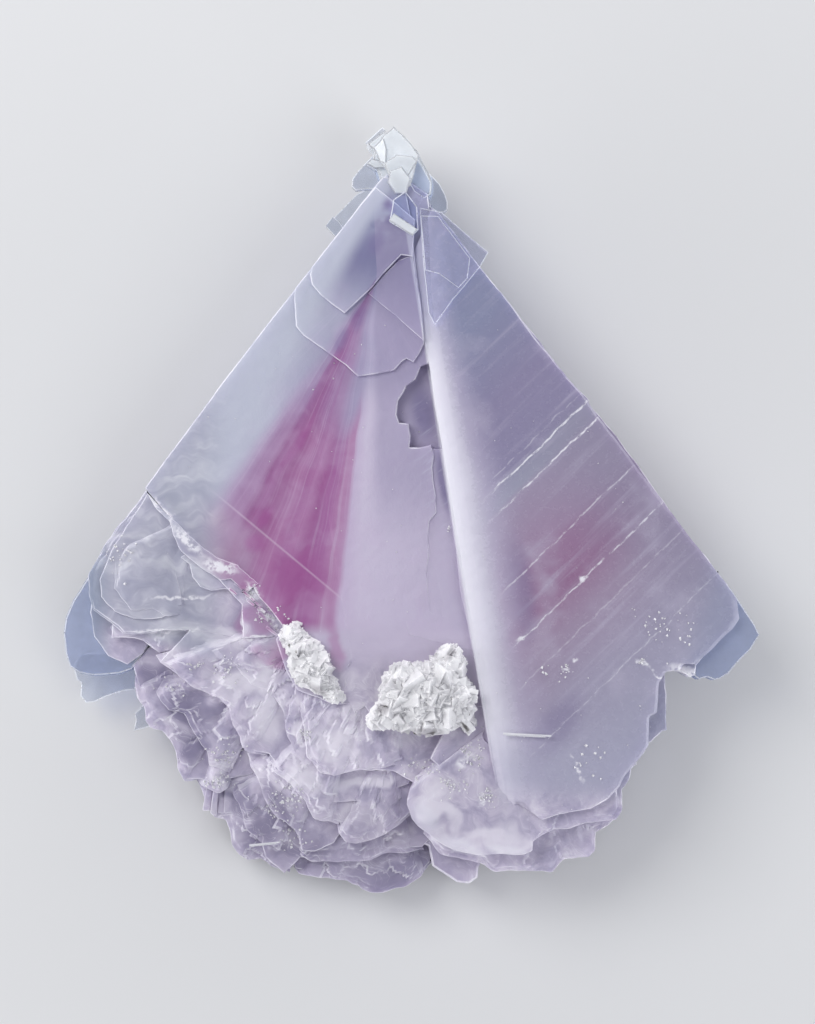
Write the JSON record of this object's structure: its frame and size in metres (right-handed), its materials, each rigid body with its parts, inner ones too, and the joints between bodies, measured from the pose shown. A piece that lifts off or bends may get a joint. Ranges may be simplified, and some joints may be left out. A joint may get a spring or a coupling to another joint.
{
  "type": "anhydrite crystal specimen",
  "caption": "Fan-shaped specimen of intergrown lavender anhydrite blades with white granular lumps, lying on its flat back.",
  "frame": {"origin": "centre of the bounding box in plan, on the plane of the flat back", "axes": "+Z out of the front of the fan, away from the back it lies on; +Y towards the pointed tip; +X to the right seen from the front"},
  "size_m": [0.08, 0.0883, 0.0164],
  "materials": {
    "lavender_anhydrite": "milky, vitreous",
    "white_granular_mineral": "granular",
    "silky_needle_crystal": "silky"
  },
  "bodies": {
    "root": {"anhydrite_fan": "lavender_anhydrite", "white_lump_left": "white_granular_mineral", "white_lump_right": "white_granular_mineral", "needle_right": "silky_needle_crystal", "needle_left": "silky_needle_crystal"}
  },
  "joints": []
}
